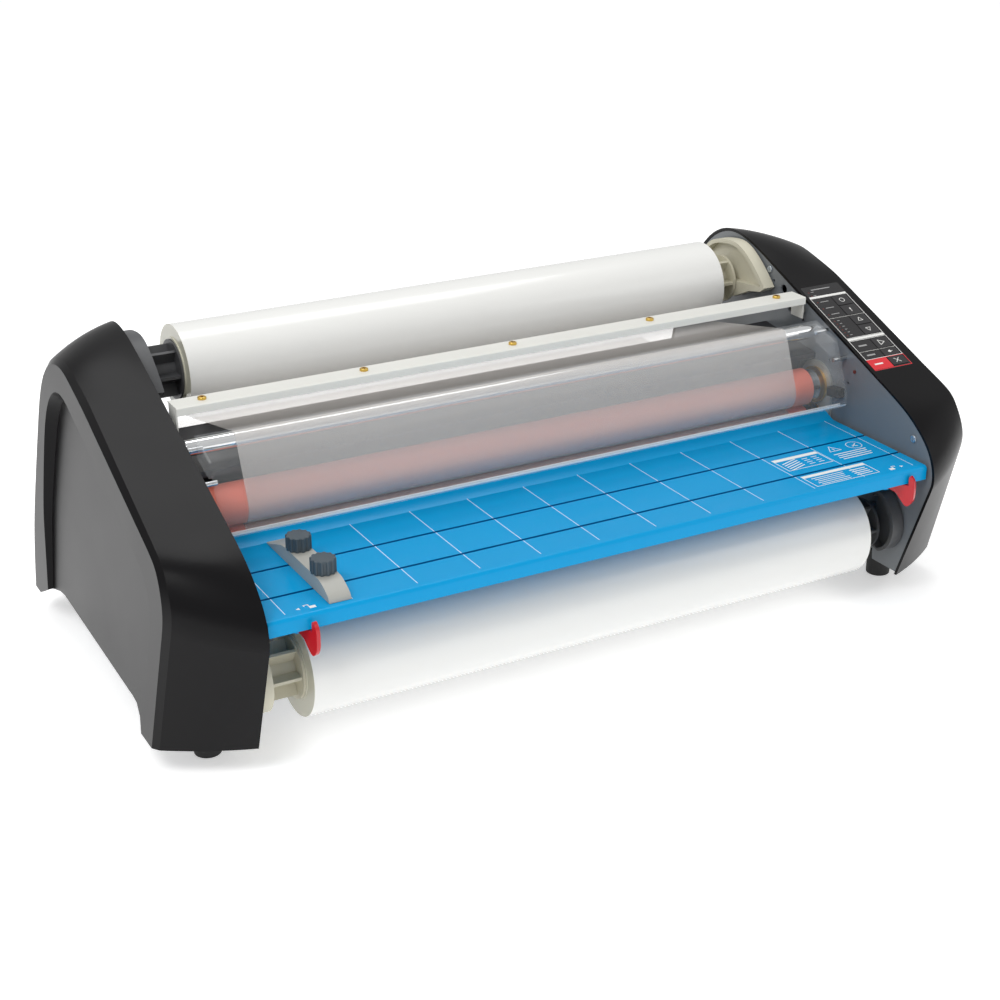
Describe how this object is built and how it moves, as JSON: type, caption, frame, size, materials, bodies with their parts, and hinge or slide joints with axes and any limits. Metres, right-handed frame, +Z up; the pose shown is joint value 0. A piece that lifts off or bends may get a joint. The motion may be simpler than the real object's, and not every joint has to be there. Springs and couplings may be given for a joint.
{
  "type": "roll laminator",
  "caption": "Desktop thermal roll laminator with red silicone rollers, upper and lower film rolls, blue feed table, clear safety shield and black side covers.",
  "frame": {"origin": "middle of the footprint, on the surface the four feet stand on", "axes": "+X along the rollers to the operator's right, +Y from the operator to the rear, +Z up"},
  "size_m": [0.903, 0.5019, 0.3343],
  "materials": {
    "cover_black": "satin moulded ABS",
    "frame_grey": "light grey satin paint",
    "rail_grey": "warm grey satin paint",
    "brass_screw": "yellow passivated",
    "zinc_screw": "zinc plated",
    "chrome_bar": "polished chrome plate",
    "lamp_steel": "plain sheathed lamp",
    "bronze": "sintered bronze",
    "cast_metal": "as cast",
    "roller_steel": "ground steel",
    "silicone_red": "matte silicone",
    "pull_rubber": "ground rubber",
    "gear_steel": "cut steel",
    "gear_nylon": "natural nylon",
    "motor_grey": "dark enamel",
    "film_white": "wound laminating film",
    "film_clear": "thin satin clear film",
    "chuck_grey": "dark grey moulding",
    "chuck_cream": "cream moulding",
    "table_blue": "satin blue enamel",
    "guide_grey": "warm grey moulding",
    "knob_grey": "blue grey moulding",
    "latch_red": "glossy red moulding",
    "shield_clear": "polished clear acrylic",
    "panel_black": "printed membrane",
    "key_black": "satin key caps",
    "led": "tinted light pipe",
    "board_green": "circuit board",
    "foot_rubber": "black rubber",
    "inlet_black": "black moulding"
  },
  "bodies": {
    "frame": {"left_side_frame": "frame_grey", "right_side_frame": "frame_grey", "left_cover": "cover_black", "right_cover": "cover_black", "base_pan": "frame_grey", "rear_panel": "frame_grey", "cross_rail": "rail_grey", "rail_screws": "brass_screw", "heat_guard": "motor_grey", "idler_bars": "chrome_bar", "heater_lamps": "lamp_steel", "roller_bushes": "bronze", "bearing_plates": "cast_metal", "drive_motor": "motor_grey", "stub_shafts": "roller_steel", "film_webs": "film_clear", "control_overlay": "panel_black", "indicator_lights": "led", "control_board": "board_green", "rubber_feet": "foot_rubber", "frame_screws": "zinc_screw", "mains_inlet": "inlet_black"},
    "lower_heat": {"lower_heat_roller": "roller_steel", "lower_roller_sleeve": "silicone_red", "lower_heat_gear": "gear_steel"},
    "upper_heat": {"upper_heat_roller": "roller_steel", "upper_roller_sleeve": "silicone_red", "upper_heat_gear": "gear_steel"},
    "lower_pull": {"lower_pull_roller": "pull_rubber", "lower_pull_gear": "gear_steel"},
    "upper_pull": {"upper_pull_roller": "pull_rubber", "upper_pull_gear": "gear_steel"},
    "idler": {"idler_gear": "gear_nylon"},
    "pinion": {"motor_pinion": "gear_steel"},
    "upper_roll": {"upper_film_roll": "film_white", "upper_left_chuck": "chuck_grey", "upper_right_chuck": "chuck_cream"},
    "lower_roll": {"lower_film_roll": "film_white", "lower_left_chuck": "chuck_cream", "lower_right_chuck": "chuck_grey"},
    "upper_left_tension": {"upper_left_lever": "chuck_grey"},
    "upper_right_tension": {"upper_right_lever": "chuck_cream"},
    "lower_left_tension": {"lower_left_lever": "chuck_cream"},
    "lower_right_tension": {"lower_right_lever": "chuck_grey"},
    "table": {"feed_table": "table_blue"},
    "guide": {"edge_guide": "guide_grey", "guide_nuts": "zinc_screw"},
    "front_knob": {"front_guide_knob": "knob_grey"},
    "rear_knob": {"rear_guide_knob": "knob_grey"},
    "left_latch": {"left_table_latch": "latch_red"},
    "right_latch": {"right_table_latch": "latch_red"},
    "shield": {"safety_shield": "shield_clear"},
    "rocker": {"power_switch": "inlet_black"},
    "standby_key_body": {"standby_key": "key_black"},
    "preheat_key_body": {"preheat_key": "key_black"},
    "speed_up_key_body": {"speed_up_key": "key_black"},
    "speed_down_key_body": {"speed_down_key": "key_black"},
    "run_key_body": {"run_key": "key_black"},
    "reverse_key_body": {"reverse_key": "key_black"},
    "stop_key_body": {"stop_key": "key_black"}
  },
  "joints": [
    {"name": "lower_heat_spin", "type": "hinge", "parent": "frame", "child": "lower_heat", "pos_m": [0, -0.053, 0.156], "axis": [1, 0, 0], "continuous": true},
    {"name": "upper_heat_spin", "type": "hinge", "parent": "frame", "child": "upper_heat", "pos_m": [0, -0.053, 0.198], "axis": [1, 0, 0], "continuous": true},
    {"name": "lower_pull_spin", "type": "hinge", "parent": "frame", "child": "lower_pull", "pos_m": [0, 0.065, 0.1605], "axis": [1, 0, 0], "continuous": true},
    {"name": "upper_pull_spin", "type": "hinge", "parent": "frame", "child": "upper_pull", "pos_m": [0, 0.065, 0.1935], "axis": [1, 0, 0], "continuous": true},
    {"name": "idler_gear_spin", "type": "hinge", "parent": "frame", "child": "idler", "pos_m": [0, 0.00934, 0.13434], "axis": [1, 0, 0], "continuous": true},
    {"name": "motor_spin", "type": "hinge", "parent": "frame", "child": "pinion", "pos_m": [0, 0.0622, 0.1151], "axis": [1, 0, 0], "continuous": true},
    {"name": "upper_film_spin", "type": "hinge", "parent": "frame", "child": "upper_roll", "pos_m": [0, 0.112, 0.2795], "axis": [1, 0, 0], "continuous": true},
    {"name": "lower_film_spin", "type": "hinge", "parent": "frame", "child": "lower_roll", "pos_m": [0, -0.1665, 0.0773], "axis": [1, 0, 0], "continuous": true},
    {"name": "upper_left_tension_turn", "type": "hinge", "parent": "frame", "child": "upper_left_tension", "pos_m": [-0.359, 0.112, 0.2795], "axis": [-1, 0, 0], "range_deg": [0, 35]},
    {"name": "lower_left_tension_turn", "type": "hinge", "parent": "frame", "child": "lower_left_tension", "pos_m": [-0.359, -0.1665, 0.0773], "axis": [1, 0, 0], "range_deg": [0, 30]},
    {"name": "upper_right_tension_turn", "type": "hinge", "parent": "frame", "child": "upper_right_tension", "pos_m": [0.359, 0.112, 0.2795], "axis": [-1, 0, 0], "range_deg": [0, 35]},
    {"name": "lower_right_tension_turn", "type": "hinge", "parent": "frame", "child": "lower_right_tension", "pos_m": [0.359, -0.1665, 0.0773], "axis": [1, 0, 0], "range_deg": [0, 30]},
    {"name": "table_slide", "type": "slide", "parent": "frame", "child": "table", "axis": [0, -1, 0], "range_m": [0, 0.1]},
    {"name": "guide_slide", "type": "slide", "parent": "table", "child": "guide", "axis": [1, 0, 0], "range_m": [-0.045, 0.62]},
    {"name": "front_knob_turn", "type": "hinge", "parent": "guide", "child": "front_knob", "pos_m": [-0.2935, -0.1975, 0.188], "axis": [0, 0, 1], "continuous": true},
    {"name": "rear_knob_turn", "type": "hinge", "parent": "guide", "child": "rear_knob", "pos_m": [-0.2935, -0.1422, 0.188], "axis": [0, 0, 1], "continuous": true},
    {"name": "left_latch_turn", "type": "hinge", "parent": "table", "child": "left_latch", "pos_m": [-0.33, -0.219, 0.15], "axis": [0, 0, -1], "range_deg": [-13, 12]},
    {"name": "right_latch_turn", "type": "hinge", "parent": "table", "child": "right_latch", "pos_m": [0.33, -0.219, 0.15], "axis": [0, 0, -1], "range_deg": [0, 25]},
    {"name": "shield_turn", "type": "hinge", "parent": "frame", "child": "shield", "pos_m": [0, -0.064, 0.263], "axis": [-1, 0, 0], "range_deg": [0, 75]},
    {"name": "power_rock", "type": "hinge", "parent": "frame", "child": "rocker", "pos_m": [-0.229, 0.224, 0.1], "axis": [-1, 0, 0], "range_deg": [0, 16]},
    {"name": "standby_key_press", "type": "slide", "parent": "frame", "child": "standby_key_body", "axis": [0, 0.3811, -0.9245], "range_m": [0, 0.0008], "stiffness_N_per_m": 800, "springref_m": -0.0005},
    {"name": "preheat_key_press", "type": "slide", "parent": "frame", "child": "preheat_key_body", "axis": [0, 0.3811, -0.9245], "range_m": [0, 0.0008], "stiffness_N_per_m": 800, "springref_m": -0.0005},
    {"name": "speed_up_key_press", "type": "slide", "parent": "frame", "child": "speed_up_key_body", "axis": [0, 0.3811, -0.9245], "range_m": [0, 0.0008], "stiffness_N_per_m": 800, "springref_m": -0.0005},
    {"name": "speed_down_key_press", "type": "slide", "parent": "frame", "child": "speed_down_key_body", "axis": [0, 0.3811, -0.9245], "range_m": [0, 0.0008], "stiffness_N_per_m": 800, "springref_m": -0.0005},
    {"name": "run_key_press", "type": "slide", "parent": "frame", "child": "run_key_body", "axis": [0, 0.3811, -0.9245], "range_m": [0, 0.0008], "stiffness_N_per_m": 800, "springref_m": -0.0005},
    {"name": "reverse_key_press", "type": "slide", "parent": "frame", "child": "reverse_key_body", "axis": [0, 0.3811, -0.9245], "range_m": [0, 0.0008], "stiffness_N_per_m": 800, "springref_m": -0.0005},
    {"name": "stop_key_press", "type": "slide", "parent": "frame", "child": "stop_key_body", "axis": [0, 0.3811, -0.9245], "range_m": [0, 0.0008], "stiffness_N_per_m": 800, "springref_m": -0.0005}
  ],
  "couplings": [
    {"joint": "upper_heat_spin", "follows": "lower_heat_spin", "ratio": -1},
    {"joint": "idler_gear_spin", "follows": "lower_heat_spin", "ratio": -0.46667},
    {"joint": "lower_pull_spin", "follows": "lower_heat_spin", "ratio": 1.2727},
    {"joint": "upper_pull_spin", "follows": "lower_heat_spin", "ratio": -1.2727},
    {"joint": "motor_spin", "follows": "lower_heat_spin", "ratio": 1.8667},
    {"joint": "upper_film_spin", "follows": "lower_heat_spin", "ratio": 0.44934},
    {"joint": "lower_film_spin", "follows": "lower_heat_spin", "ratio": -0.42412}
  ]
}
